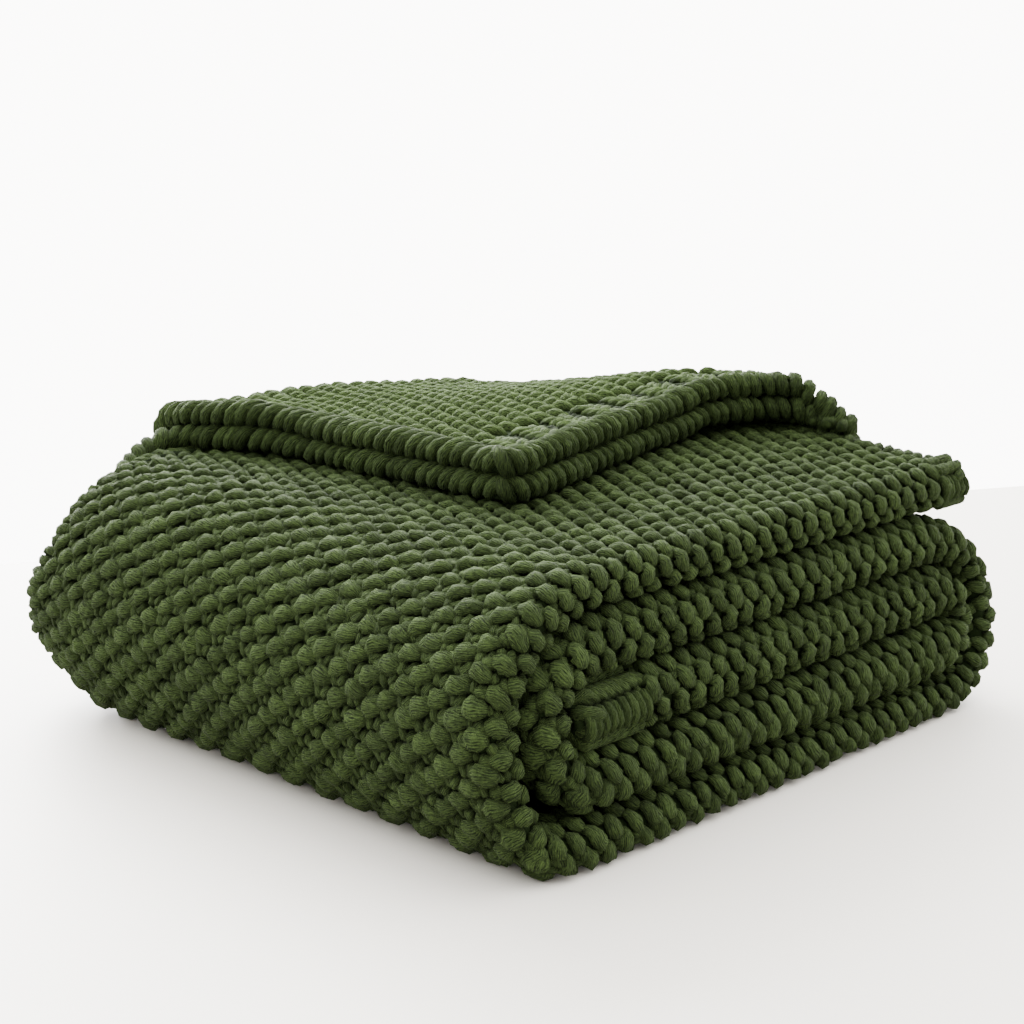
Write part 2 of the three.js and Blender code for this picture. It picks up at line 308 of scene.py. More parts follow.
def flap_radius(name):
    """Radius of a flap ply's turn round the back fold. The upper ply goes round the lower one."""
    order = FLAP_PLIES[name]
    return (PLY + FLAP_AIR) * (1 + 2 * order) / 2 + order * (TOP_LAYER["left_thick"] - PLY) / 2


def flap_turn(name):
    """Length of the half turn of a flap ply, measured on its outside."""
    return math.pi * (flap_radius(name) + PLY / 2)


def flap_forward(name, u):
    """Length of a flap ply from the end of its turn to its front edge, at u from left to right."""
    return STRIP_WIDTH - flap_front(mix(FLAP_LEFT["x"], FLAP_RIGHT_X[name], u))


def flap_length(name, u):
    """Length of a flap ply from the start of the back fold to its front edge."""
    return flap_turn(name) + flap_forward(name, u)


def flap_left(name, path, y):
    """Left edge of a flap ply: it runs out smoothly towards the back fold, and on round the fold it
    sweeps out further by its own amount."""
    run_out = smooth((y - (STRIP_WIDTH - FLAP_LEFT["curve"])) / FLAP_LEFT["curve"])
    reach = flap_turn(name) + FLAP_SWEEP["before"]
    return (mix(FLAP_LEFT["x"], FLAP_LEFT["back_x"], run_out)
            - FLAP_SWEEP[name] * smooth((reach - path) / reach))


def flap_rise(name, x, y, forward, turned):
    """Height of a flap ply over its rest on the stack. Forward is the share of the way from its turn
    to its front edge, and turned is that of the turn. Bells raise an open arch at the right and a
    place at the back left, and lower the back. Its right end hangs down smoothly, and its left end,
    past the stack, goes down a squared ellipse."""
    arch = (FLAP_ARCH["height"] * bell(x, FLAP_ARCH["x"], FLAP_ARCH["reach"], 4)
            * smooth((forward - FLAP_ARCH["from"]) / FLAP_ARCH["within"]))
    lift = (FLAP_LIFT["height"] * bell(x, FLAP_LIFT["x"], FLAP_LIFT["reach"])
            * bell(y, FLAP_LIFT["y"], FLAP_LIFT["reach"]))
    dent = (FLAP_DENT["depth"] * bell(x, FLAP_DENT["x"], FLAP_DENT["reach"], 4)
            * smooth((y - FLAP_DENT["from_y"]) / FLAP_DENT["span_y"]))
    droop_x = mix(FLAP_DROOP["from_x"], FLAP_DROOP["back_x"],
                  smooth((y - FLAP_DROOP["from_y"]) / FLAP_DROOP["span_y"]))
    droop = FLAP_DROOP[name] * smooth((x - droop_x) / (FLAP_DROOP["to_x"] - droop_x))
    past = np.clip((FLAP_SLOPE["from_x"] - x) / FLAP_SLOPE["reach"], 0.0, FLAP_SLOPE["most"])
    slope = FLAP_SLOPE["height"] * (1.0 - (1.0 - past ** SQUARENESS) ** (1.0 / SQUARENESS))
    return np.where(forward > 0, arch + lift, 0.0) - (dent + droop) * smooth(turned) - slope


def flap_place(name, u, path, off):
    """A place on a flap ply: u from its left to its right edge, path mm along it from the start of the
    back fold (a half turn, then straight forward), and off mm out of its middle, upwards on top."""
    order = FLAP_PLIES[name]
    radius = flap_radius(name)
    turn = flap_turn(name)
    angle = np.clip(path / (radius + PLY / 2), 0.0, math.pi)
    y = STRIP_WIDTH + radius * np.sin(angle) + np.minimum(path, 0.0) - np.maximum(path - turn, 0.0)
    x = mix(flap_left(name, path, y), FLAP_RIGHT_X[name], u)
    across = (x - TOP_LAYER["left_x"]) / (TOP_LAYER["right_x"] - TOP_LAYER["left_x"])
    thick = mix(TOP_LAYER["left_thick"], TOP_LAYER["right_thick"], across)
    middle = mix(LAYER_ENDS["A"]["left"], LAYER_ENDS["A"]["right"], across)
    root_z = middle + ply_off(thick) * (1 - 2 * order)
    rest_z = middle + thick / 2 - PLY / 2 + (PLY + FLAP_AIR) * (1 + order)
    rise = flap_rise(name, x, y, (path - turn) / flap_forward(name, u), path / turn)
    return settle(
        x,
        y + off * np.sin(angle),
        mix(root_z, rest_z, (1.0 - np.cos(angle)) / 2) + rise - off * np.cos(angle),
    )


# Meshes

def volume_of(points, quads):
    """Six times the volume inside closed four-cornered faces: over their two triangles each, the sum
    of one corner times the cross product of the other two."""
    corners = points[quads]
    return sum(np.einsum("ij,ij->", corners[:, 0], np.cross(corners[:, b], corners[:, c]))
               for b, c in ((1, 2), (2, 3)))


def add_piece(name, points, quads, material, uv=None, attributes=None):
    """Makes one mesh piece from points in stack millimetres and four-cornered faces, turned to face
    outwards by the sign of its volume, and flattened where it lies on the surface below."""
    points = points.reshape(-1, 3)
    if volume_of(points, quads) < 0:
        quads = quads[:, ::-1]
        uv = None if uv is None else uv[:, ::-1]
    placed = (points - np.array([*STACK_MIDDLE, 0.0])) * MM
    placed[:, 2] = np.maximum(placed[:, 2], 0.0)
    mesh = bpy.data.meshes.new(name)
    mesh.vertices.add(len(placed))
    mesh.vertices.foreach_set("co", placed.astype(np.float32).ravel())
    mesh.loops.add(quads.size)
    mesh.loops.foreach_set("vertex_index", quads.astype(np.int32).ravel())
    mesh.polygons.add(len(quads))
    mesh.polygons.foreach_set("loop_start", np.arange(len(quads), dtype=np.int32) * 4)
    mesh.polygons.foreach_set("use_smooth", np.ones(len(quads), dtype=bool))
    mesh.update(calc_edges=True)
    if uv is not None:
        layer = mesh.uv_layers.new(name="yarn")
        layer.data.foreach_set("uv", uv.astype(np.float32).ravel())
    for key, values in (attributes or {}).items():
        data = mesh.attributes.new(key, "FLOAT", "POINT")
        data.data.foreach_set("value", values.astype(np.float32).ravel())
    mesh.materials.append(material)
    piece = bpy.data.objects.new(name, mesh)
    bpy.context.collection.objects.link(piece)
    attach(piece, "root")
    return piece


def sheet_quads(rows, columns):
    """Faces of a closed sheet: two grids of rows by columns, one on each side, joined round the rim."""
    def at(face, i, j):
        """Number of a place: the faces' places in order, row by row."""
        return (face * rows + i) * columns + j

    i, j = np.meshgrid(np.arange(rows - 1), np.arange(columns - 1), indexing="ij")
    quads = [
        np.stack([at(0, i, j), at(0, i + 1, j), at(0, i + 1, j + 1), at(0, i, j + 1)], -1).reshape(-1, 4),
        np.stack([at(1, i, j), at(1, i, j + 1), at(1, i + 1, j + 1), at(1, i + 1, j)], -1).reshape(-1, 4),
    ]
    i = np.arange(rows - 1)
    j = np.arange(columns - 1)
    last_i, last_j = rows - 1, columns - 1
    quads += [
        np.stack([at(0, i + 1, 0), at(0, i, 0), at(1, i, 0), at(1, i + 1, 0)], -1),
        np.stack([at(0, i, last_j), at(0, i + 1, last_j), at(1, i + 1, last_j), at(1, i, last_j)], -1),
        np.stack([at(0, 0, j), at(0, 0, j + 1), at(1, 0, j + 1), at(1, 0, j)], -1),
        np.stack([at(0, last_i, j + 1), at(0, last_i, j), at(1, last_i, j), at(1, last_i, j + 1)], -1),
    ]
    return np.concatenate(quads)


def tube_rings(path, radius, sides, above=(0.0, 0.0, 1.0)):
    """Rings round paths (last axis x, y, z; the one before it along the path): at each place, the
    radius times the cosine of the turn along the direction square to the path and to the one given
    as above, plus its sine along the direction square to both."""
    along = unit(np.gradient(path, axis=-2))
    level = unit(np.cross(np.array(above), along))
    lift = np.cross(along, level)
    turn = np.arange(sides) * 2 * math.pi / sides
    ring = np.cos(turn)[:, None] * level[..., None, :] + np.sin(turn)[:, None] * lift[..., None, :]
    return path[..., None, :] + radius[..., None, None] * ring


def tube_quads(count, rings, sides):
    """Faces of count closed tubes of rings by sides places, their ends closed with pairs of faces."""
    k, j = np.meshgrid(np.arange(rings - 1), np.arange(sides), indexing="ij")
    ahead = (j + 1) % sides
    wall = np.stack([k * sides + j, k * sides + ahead, (k + 1) * sides + ahead, (k + 1) * sides + j], -1)
    last = (rings - 1) * sides
    first_end = [[0, c + 2, c + 1, c] for c in range(1, sides - 1, 2)]
    last_end = [[last + c for c in reversed(face)] for face in first_end]
    one = np.concatenate([wall.reshape(-1, 4), first_end, last_end])
    starts = np.arange(count)[:, None, None] * rings * sides
    return (one[None] + starts).reshape(-1, 4)


def tube_uv(lengths, rings, sides):
    """Yarn map of each tube: centimetres along it, and the share of a turn round it."""
    k, j = np.meshgrid(np.arange(rings - 1), np.arange(sides), indexing="ij")
    share = np.stack([j, j + 1, j + 1, j], -1).reshape(-1, 4) / sides
    row = np.stack([k, k, k + 1, k + 1], -1).reshape(-1, 4)
    end_faces = sides - 2
    uv = np.zeros((len(lengths), len(row) + end_faces, 4, 2))
    uv[:, : len(row), :, 0] = lengths[:, row] / CENTIMETRE
    uv[:, : len(row), :, 1] = share
    return uv.reshape(-1, 4, 2)


def add_yarns(name, groups):
    """One piece of many closed tubes, from groups of them: each is its rings (tubes by places by sides by
    x, y, z), a tone for each tube, and how deep each of its points lies in the knit, which the yarn's
    material turns into painted shade."""
    rings, tone, deep = (np.concatenate(part) for part in zip(*groups))
    count, places, sides = rings.shape[:3]
    step = np.linalg.norm(np.diff(rings.mean(axis=2), axis=1), axis=-1)
    lengths = np.concatenate([np.zeros((count, 1)), np.cumsum(step, axis=1)], axis=1)
    tone = np.broadcast_to(tone[:, None, None], rings.shape[:3])
    return add_piece(
        name, rings, tube_quads(count, places, sides), YARN,
        uv=tube_uv(lengths, places, sides), attributes={"tone": tone, "deep": deep},
    )


# Materials

def colour(text):
    """sRGB hex to linear: each channel over 12.92 when dark, else its 2.4 power curve."""
    values = [int(text[k:k + 2], 16) / 255 for k in (1, 3, 5)]
    linear = [c / 12.92 if c <= 0.04045 else ((c + 0.055) / 1.055) ** 2.4 for c in values]
    return (*linear, 1.0)


def add(tree, kind, settings=None, **inputs):
    """Adds a node with its settings. Each input is a value or a socket to link. An input's name is the
    socket's own with underscores for spaces, or in_ and its number."""
    node = tree.nodes.new(kind)
    for key, value in (settings or {}).items():
        setattr(node, key, value)
    for key, value in inputs.items():
        socket = node.inputs[int(key[3:]) if key.startswith("in_") else key.replace("_", " ")]
        if isinstance(value, bpy.types.NodeSocket):
            tree.links.new(value, socket)
        else:
            socket.default_value = value
    return node


def new_material(name):
    """A material with an empty node tree, and that tree."""
    material = bpy.data.materials.new(name)
    material.use_nodes = True
    material.node_tree.nodes.clear()
    return material, material.node_tree


LIGHT_GREEN = colour("#47592f")
MID_GREEN = colour("#283319")
# Painted shade: this darkest green is painted where shade falls, in the grooves between strands, on yarn
# deep in the knit and between the lumps of the knit's back
SHADE_GREEN = colour("#11190b")
# Painted shade: the knitted ground in the gaps is painted a dark green, darker than the yarn
GROUND_SHADE_GREEN = colour("#18220f")

STRANDS = 24.0            # strands that show round one yarn
STRAND_HEIGHT = 0.45      # of the strands, in strand depths
STRAND_DEPTH = 0.0009     # metres
PLIES = 4.0               # bundles of strands round one yarn, with soft grooves between them
PLY_HEIGHT = 1.4          # of the grooves between the bundles, in strand depths
PLY_ROUNDNESS = 0.45      # power of their wave: less is rounder bundles with narrower grooves
TWIST = 0.12              # turns round the yarn in a centimetre of it
WOBBLE = 0.05             # turns by which the strands wander
WOBBLE_SIZE = 0.005       # metres, over which they do
STREAK = 8.5              # streaks of fibres to a centimetre round the yarn
STREAK_STRETCH = 0.55     # they are this much finer round it than along it
STREAK_HEIGHT = 2.6       # in strand depths
STREAKS_APART = 90.0      # centimetres, so that no two yarns show the same streaks
# Painted shade: where a strand is low, in the groove between strands, it is painted with the shade green
LINE_FROM, LINE_TO = 1.1, 1.85      # heights of strand between which a dark line fades out
FIBRE = 0.0007            # metres, size of the fibre fuzz; the real fibres are finer than a pixel
FIBRE_HEIGHT = 1.1        # in strand depths
PATCH = 0.03              # metres, size of the faint uneven dye
DRIFT = {"tone": 0.25, "patch": 0.5, "fibre": 0.9, "less": 0.475}     # shares of the light dye


def soft_spun_cotton_yarn():
    """Soft-spun cotton yarn of many fine strands, dyed in the hank: matt, with soft grooves between its
    bundles of strands, streaks of fibres along them with dark lines of painted shade in the low grooves
    between them, a faint bloom of fibre ends at grazing angles, and a little colour drift. Yarn that lies
    deep in the knit is painted darker, as painted shade. Strands and bundles are sine waves of the turn
    round the yarn, and streaks are noise on a circle carried along it."""
    material, tree = new_material("soft_spun_cotton_yarn")
    place = add(tree, "ShaderNodeTexCoord").outputs["Object"]
    yarn = add(tree, "ShaderNodeUVMap", {"uv_map": "yarn"})
    parts = add(tree, "ShaderNodeSeparateXYZ", Vector=yarn.outputs[0])
    tone = add(tree, "ShaderNodeAttribute", {"attribute_name": "tone"})
    wobble = add(tree, "ShaderNodeTexNoise", Vector=place, Scale=1.0 / WOBBLE_SIZE, Detail=2.0)
    twisted = add(tree, "ShaderNodeMath", {"operation": "MULTIPLY_ADD"},
                  in_0=parts.outputs[0], in_1=TWIST, in_2=parts.outputs[1])
    turn = add(tree, "ShaderNodeMath", {"operation": "MULTIPLY_ADD"},
               in_0=wobble.outputs[0], in_1=WOBBLE, in_2=twisted.outputs[0])
    angle = add(tree, "ShaderNodeMath", {"operation": "MULTIPLY"}, in_0=turn.outputs[0], in_1=2 * math.pi)
    cosine = add(tree, "ShaderNodeMath", {"operation": "COSINE"}, in_0=angle.outputs[0])
    sine = add(tree, "ShaderNodeMath", {"operation": "SINE"}, in_0=angle.outputs[0])
    apart = add(tree, "ShaderNodeMath", {"operation": "MULTIPLY_ADD"},
                in_0=tone.outputs["Fac"], in_1=STREAKS_APART, in_2=parts.outputs[0])
    along = add(tree, "ShaderNodeMath", {"operation": "MULTIPLY"},
                in_0=apart.outputs[0], in_1=STREAK_STRETCH)
    round_yarn = add(tree, "ShaderNodeCombineXYZ",
                     in_0=cosine.outputs[0], in_1=sine.outputs[0], in_2=along.outputs[0])
    streak = add(tree, "ShaderNodeTexNoise", Vector=round_yarn.outputs[0], Scale=STREAK, Detail=2.0,
                 Roughness=0.6)
    fibre = add(tree, "ShaderNodeTexNoise", Vector=place, Scale=1.0 / FIBRE, Detail=3.0, Roughness=0.65)

    bumps = []
    for count in (PLIES, STRANDS):
        phase = add(tree, "ShaderNodeMath", {"operation": "MULTIPLY"},
                    in_0=turn.outputs[0], in_1=count * math.pi)
        wave = add(tree, "ShaderNodeMath", {"operation": "SINE"}, in_0=phase.outputs[0])
        bumps.append(add(tree, "ShaderNodeMath", {"operation": "ABSOLUTE"}, in_0=wave.outputs[0]))
    ply = add(tree, "ShaderNodeMath", {"operation": "POWER"},
              in_0=bumps[0].outputs[0], in_1=PLY_ROUNDNESS)
    strand_height = add(tree, "ShaderNodeMath", {"operation": "MULTIPLY"},
                        in_0=bumps[1].outputs[0], in_1=STRAND_HEIGHT)
    strand = add(tree, "ShaderNodeMath", {"operation": "MULTIPLY_ADD"},
                 in_0=streak.outputs[0], in_1=STREAK_HEIGHT, in_2=strand_height.outputs[0])
    bundled = add(tree, "ShaderNodeMath", {"operation": "MULTIPLY_ADD"},
                  in_0=ply.outputs[0], in_1=PLY_HEIGHT, in_2=strand.outputs[0])
    height = add(tree, "ShaderNodeMath", {"operation": "MULTIPLY_ADD"},
                 in_0=fibre.outputs[0], in_1=FIBRE_HEIGHT, in_2=bundled.outputs[0])
    bump = add(tree, "ShaderNodeBump", Height=height.outputs[0], Strength=1.0, Distance=STRAND_DEPTH)

    patch = add(tree, "ShaderNodeTexNoise", Vector=place, Scale=1.0 / PATCH, Detail=2.0)
    toned = add(tree, "ShaderNodeMath", {"operation": "MULTIPLY"},
                in_0=tone.outputs["Fac"], in_1=DRIFT["tone"])
    patched = add(tree, "ShaderNodeMath", {"operation": "MULTIPLY_ADD"},
                  in_0=patch.outputs[0], in_1=DRIFT["patch"], in_2=toned.outputs[0])
    flecked = add(tree, "ShaderNodeMath", {"operation": "MULTIPLY_ADD"},
                  in_0=fibre.outputs[0], in_1=DRIFT["fibre"], in_2=patched.outputs[0])
    drift = add(tree, "ShaderNodeMath", {"operation": "SUBTRACT"},
                in_0=flecked.outputs[0], in_1=DRIFT["less"])
    dyed = add(tree, "ShaderNodeMix", {"data_type": "RGBA"},
               in_0=drift.outputs[0], in_6=MID_GREEN, in_7=LIGHT_GREEN)
    # Painted shade: the low grooves between strands are painted dark
    line = add(tree, "ShaderNodeMapRange", Value=strand.outputs[0], in_1=LINE_FROM, in_2=LINE_TO,
               in_3=1.0, in_4=0.0)
    lined = add(tree, "ShaderNodeMix", {"data_type": "RGBA"},
                in_0=line.outputs[0], in_6=dyed.outputs[2], in_7=SHADE_GREEN)
    # Painted shade: yarn that lies deep in the knit is painted towards the shade green
    deep = add(tree, "ShaderNodeAttribute", {"attribute_name": "deep"})
    sunk = add(tree, "ShaderNodeMix", {"data_type": "RGBA"},
               in_0=deep.outputs["Fac"], in_6=lined.outputs[2], in_7=SHADE_GREEN)
    shader = add(tree, "ShaderNodeBsdfPrincipled", Base_Color=sunk.outputs[2], Normal=bump.outputs[0],
                 Roughness=0.92, IOR=1.45, Specular_IOR_Level=0.08,
                 Sheen_Weight=0.06, Sheen_Roughness=0.45, Sheen_Tint=LIGHT_GREEN)
    add(tree, "ShaderNodeOutputMaterial", Surface=shader.outputs[0])
    return material


LUMP = 0.006              # metres, size of the lumps where yarns cross
LUMP_DEPTH = 0.002        # metres
LUMP_FIBRE = 0.25         # height of the fibre fuzz against that of the lumps


def back_of_the_cotton_knit():
    """The back of the stitches, deep in the knit: the same cotton, seen only in the gaps, painted dark and
    uneven as painted shade, with the lumps of the yarns that cross there, which are cells of noise, and
    painted shade that darkens the cells towards their edges."""
    material, tree = new_material("back_of_the_cotton_knit")
    place = add(tree, "ShaderNodeTexCoord").outputs["Object"]
    lumps = add(tree, "ShaderNodeTexVoronoi", Vector=place, Scale=1.0 / LUMP)
    fibre = add(tree, "ShaderNodeTexNoise", Vector=place, Scale=1.0 / FIBRE, Detail=3.0)
    height = add(tree, "ShaderNodeMath", {"operation": "MULTIPLY_ADD"},
                 in_0=fibre.outputs[0], in_1=LUMP_FIBRE, in_2=lumps.outputs[0])
    bump = add(tree, "ShaderNodeBump", {"invert": True}, Height=height.outputs[0], Strength=0.9,
               Distance=LUMP_DEPTH)
    # Painted shade: darker between the lumps
    shade = add(tree, "ShaderNodeMix", {"data_type": "RGBA"},
                in_0=lumps.outputs[0], in_6=GROUND_SHADE_GREEN, in_7=SHADE_GREEN)
    shader = add(tree, "ShaderNodeBsdfPrincipled", Base_Color=shade.outputs[2], Normal=bump.outputs[0],
                 Roughness=0.95, IOR=1.45, Specular_IOR_Level=0.05)
    add(tree, "ShaderNodeOutputMaterial", Surface=shader.outputs[0])
    return material


YARN = soft_spun_cotton_yarn()
GROUND = back_of_the_cotton_knit()


# The knitted ground

GROUND_SINK = 4.7         # the ground lies this far under the outside of the cloth
GROUND_THICK = 4.4
GROUND_LEAST = 0.8        # its inner side stays this far off the middle of a thin layer
GROUND_SHORT = 2.0        # it ends this far inside the cloth's edges
GROUND_ROWS = 281         # places along the strip
GROUND_FOLD = 8           # and round a front fold
RIM_PINCH = 0.72          # share of its thickness that is left at its back edges
LEG_SHARES = np.array([1.0, 0.95, 0.86, 0.74, 0.61, 0.47, 0.33, 0.2, 0.1, 0.03, 0.0])
FLAP_GROUND = {"outside": 2.6, "inside": -4.9, "rows": 45, "edge": 0.006, "turn_rows": 11,
               "forward_rows": 24}
FLAP_ROOT = [-13.0, -2.0]           # its first places lie inside the top layer, before the back fold


def strip_ground():
    """Both sides of the ground under the stitches of the strip, along it every few millimetres and
    across it from one back edge round the front fold to the other. Each side is half of the ground's
    thickness off the middle between its outer and its inner face."""
    s = np.linspace(0.0, LINE_END, GROUND_ROWS)
    legs = np.concatenate([LEG_SHARES, np.zeros(GROUND_FOLD), LEG_SHARES[::-1]])
    angles = np.concatenate([np.zeros(len(LEG_SHARES)), np.linspace(0, math.pi, GROUND_FOLD + 2)[1:-1],
                             np.full(len(LEG_SHARES), math.pi)])
    at = {key: value[:, None] for key, value in line_at(s).items()}
    behind = legs * (STRIP_WIDTH - GROUND_SHORT - ply_off(at["thick"]) - at["set_back"])
    outer = at["thick"] / 2 - GROUND_SINK
    inner = np.maximum(outer - GROUND_THICK, GROUND_LEAST)
    half = (outer - inner) / 2 * np.where(legs == 1.0, RIM_PINCH, 1.0)
    faces = [strip_place(at, behind, angles, (outer + inner) / 2 + face * half) for face in (1, -1)]
    return np.stack(faces), sheet_quads(len(s), len(legs))


def flap_ground(name):
    """Both sides of the ground of one flap ply, from inside the top layer round the back fold to its
    front edge, in even shares of each stretch."""
    edge = FLAP_GROUND["edge"]
    u = np.linspace(edge, 1.0 - edge, FLAP_GROUND["rows"])[:, None]
    turn = flap_turn(name)
    length = flap_length(name, u) - GROUND_SHORT
    round_fold = np.linspace(0.0, turn, FLAP_GROUND["turn_rows"])
    shares = np.linspace(0.0, 1.0, FLAP_GROUND["forward_rows"] + 1)[1:]
    path = np.concatenate([
        np.broadcast_to(FLAP_ROOT, (len(u), len(FLAP_ROOT))),
        np.broadcast_to(round_fold, (len(u), len(round_fold))),
        turn + shares * (length - turn),
    ], axis=1)
    faces = [flap_place(name, u, path, FLAP_GROUND[side]) for side in ("outside", "inside")]
    return np.stack(faces), sheet_quads(len(u), path.shape[1])


def add_ground():
    """One piece of three closed sheets, the strip's and those of the flap's two plies, each with its
    faces turned to give it a positive volume."""
    points, quads, taken = [], [], 0
    for sheet_points, sheet_faces in (strip_ground(), flap_ground("lower"), flap_ground("upper")):
        sheet_points = sheet_points.reshape(-1, 3)
        outward = volume_of(sheet_points, sheet_faces) > 0
        points.append(sheet_points)
        quads.append(taken + (sheet_faces if outward else sheet_faces[:, ::-1]))
        taken += len(sheet_points)
    piece = add_piece("knit_ground", np.concatenate(points), np.concatenate(quads), GROUND)
    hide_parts("blanket")
    return piece


# Yarns

ROW = 6.0                 # rows of stitches, along the strip
STITCH = 11.0             # stitches, across it
SEEDS = {"moss": 11, "strokes": 31, "flap": 41, "flap_strokes": 44, "border_ribs": 51, "wraps": 61,
         "hem_ribs": 81, "hem_rope": 91}
SIDES = 8                 # of a yarn's ring
FAR_SIDES = 6             # of one that is thin, or hidden unless the throw is turned round

# One stitch as it stands on the cloth: across the row, along the strip, out of the cloth, and the
# yarn's radius. It comes up at one side, lies over as a fat bar and dives at the other, thinner end.
BAR = np.array([
    (3.9, -2.2, -6.4, 2.2),
    (5.1, 0.0, -4.2, 3.0),
    (4.9, 1.8, -2.7, 3.7),
    (3.0, 2.8, -1.9, 4.0),
    (0.6, 3.2, -1.8, 3.8),
    (-1.9, 3.7, -2.2, 3.3),
    (-4.0, 4.2, -3.1, 2.7),
    (-5.5, 4.5, -4.5, 2.1),
    (-6.4, 4.5, -6.6, 1.6),
])

# The yarn's far side, which shows over the bar's thinner half
FAR_STROKE = np.array([
    (1.6, 4.8, -4.8, 1.9),
    (-1.2, 6.4, -3.0, 2.6),
    (-4.0, 7.0, -3.2, 2.5),
    (-6.4, 6.2, -5.4, 1.8),
])

# The two legs of the knitted stitch that show between one bar and the next
NEAR_LEG = np.array([
    (4.8, 0.2, -5.8, 2.0),
    (3.8, -1.6, -3.7, 2.7),
    (2.6, -3.4, -3.4, 2.6),
    (1.2, -5.6, -5.2, 1.8),
])
FAR_LEG = np.array([
    (-3.4, 0.4, -5.8, 2.0),
    (-2.2, -1.4, -3.8, 2.7),
    (-1.0, -3.4, -3.5, 2.6),
    (0.7, -5.6, -5.2, 1.8),
])
STROKES = (FAR_STROKE, NEAR_LEG, FAR_LEG)

# A slanted bar of a rib or a rope: along itself, across, and out of the cloth
RIB_BAR = np.array([
    (6.8, 0.0, -6.6, 2.2),
    (5.0, 0.0, -4.1, 2.9),
    (2.2, 0.0, -3.1, 3.3),
    (-0.8, 0.0, -2.9, 3.4),
    (-3.6, 0.0, -3.4, 3.1),
    (-5.8, 0.0, -4.8, 2.6),
    (-7.2, 0.0, -7.0, 2.0),
])

# One wrap of a bound edge: along the edge, out past it, and through the thickness of the ply
WRAP = np.array([
    (-4.4, -8.0, 2.6, 2.2),
    (-3.7, -5.2, 3.3, 2.8),
    (-2.6, -2.4, 3.3, 3.1),
    (-1.2, -0.2, 2.2, 3.25),
    (0.0, 0.7, 0.1, 3.3),
    (1.2, -0.2, -2.1, 3.25),
    (2.6, -2.4, -3.3, 3.1),
    (3.7, -5.2, -3.3, 2.8),
    (4.4, -8.0, -2.6, 2.2),
])

STRIP_YARN = np.array([1.0, 1.06, 0.76])    # the soft yarn spreads along the cloth and lies flatter
FLAP_YARN = np.array([0.98, 0.86, 0.95])    # on the flap and the hems it stands up rounder

# How unevenly yarns lie, as spreads: radians, a share of the size, and millimetres for the rest
LOOSE = {"turn": 0.11, "size": 0.06, "lift": 0.3, "moved": 0.4, "uneven": 0.28}
# Painted shade: yarn that lies under a height is painted darker, the deeper the darker
PAINTED_SHADE_BY_DEPTH = {"from": -1.6, "span": 3.6, "shade": 0.8}      # heights over which yarn sinks out of the light

# How a bar changes on a front fold, where the cloth is stretched round and open to the light, and how much
# of the painted shade it takes there
FOLD = {"long": 0.98, "wide": 1.14, "depth": 0.7, "straight": 0.65, "shade": 0.3}


def laid(shape, s, v, seed, turn=0.0, along_sign=-1.0, across_sign=1.0, size=1.0, lift=0.0, loose=1.0,
         sides=SIDES, bent=0.0, yarn=STRIP_YARN, reach=1.0):
    """Rings in cloth coordinates of one yarn shape laid at every s and v, with a random tone for each and
    how deep its points lie, which is the painted shade that darkens them. The shape is turned by an angle
    and a small random one in the plane of the cloth, scaled a little, and moved by a fraction of a
    millimetre. Along and across may be turned round by their signs, and bent is the share of the front
    fold's changes that it takes, less painted shade among them."""
    rng = np.random.default_rng(seed)
    count = len(s)
    path = shape[:, None, :3]
    rings = path + (tube_rings(shape[:, :3], shape[:, 3], sides) - path) * yarn
    angle = (np.radians(turn) + rng.normal(0.0, LOOSE["turn"] * loose, count))[:, None, None]
    scale = size * rng.normal(1.0, LOOSE["size"] * loose, count)[:, None, None]
    across = scale * (rings[..., 0] * np.cos(angle) + rings[..., 1] * np.sin(angle))
    along = scale * (rings[..., 1] * np.cos(angle) - rings[..., 0] * np.sin(angle))
    bent = np.broadcast_to(bent, count)[:, None, None]
    middle = shape[len(shape) // 2]
    along = along - FOLD["straight"] * bent * scale * (path[..., 1] - middle[1])
    across = across * mix(reach, FOLD["long"], bent)
    along = along * mix(1.0, FOLD["wide"], bent)
    raised = (path[..., 2] - middle[2]) * mix(0.0, FOLD["depth"] - 1.0, bent)
    out = size * (rings[..., 2] + raised) + lift
    out = out + rng.normal(0.0, LOOSE["lift"] * loose, count)[:, None, None]
    moved = rng.normal(0.0, LOOSE["moved"] * loose, (2, count, 1, 1))
    uneven = rng.normal(0.0, LOOSE["uneven"] * loose, (3, count, *rings.shape[:2]))
    # Painted shade: points below a height are painted darker, less on a front fold
    deep = smooth((PAINTED_SHADE_BY_DEPTH["from"] - rings[..., 2]) / PAINTED_SHADE_BY_DEPTH["span"]) * mix(PAINTED_SHADE_BY_DEPTH["shade"], FOLD["shade"], bent)
    return (s[:, None, None] + along_sign * along + moved[0] + uneven[0],
            v[:, None, None] + across_sign * across + moved[1] + uneven[1], out + uneven[2],
            rng.uniform(0.0, 1.0, count), deep)


def laid_on_strip(shape, s, v, seed, **how):
    """A group of yarns on the outside of the strip, laid as above."""
    s_yarn, v_yarn, n_yarn, tone, deep = laid(shape, s, v, seed, **how)
    return on_strip(s_yarn, v_yarn, n_yarn), tone, deep


def lattice(s_from, s_to, v_from, v_to):
    """Stitches whose bar shows, every second one: row k and stitch m where k + m is even."""
    k, m = np.meshgrid(np.arange(math.floor(s_from / ROW), math.ceil(s_to / ROW) + 1),
                       np.arange(math.floor(v_from / STITCH), math.ceil(v_to / STITCH) + 1), indexing="ij")
    even = (k + m) % 2 == 0
    return k[even] * ROW, m[even] * STITCH


# Moss stitch of the strip

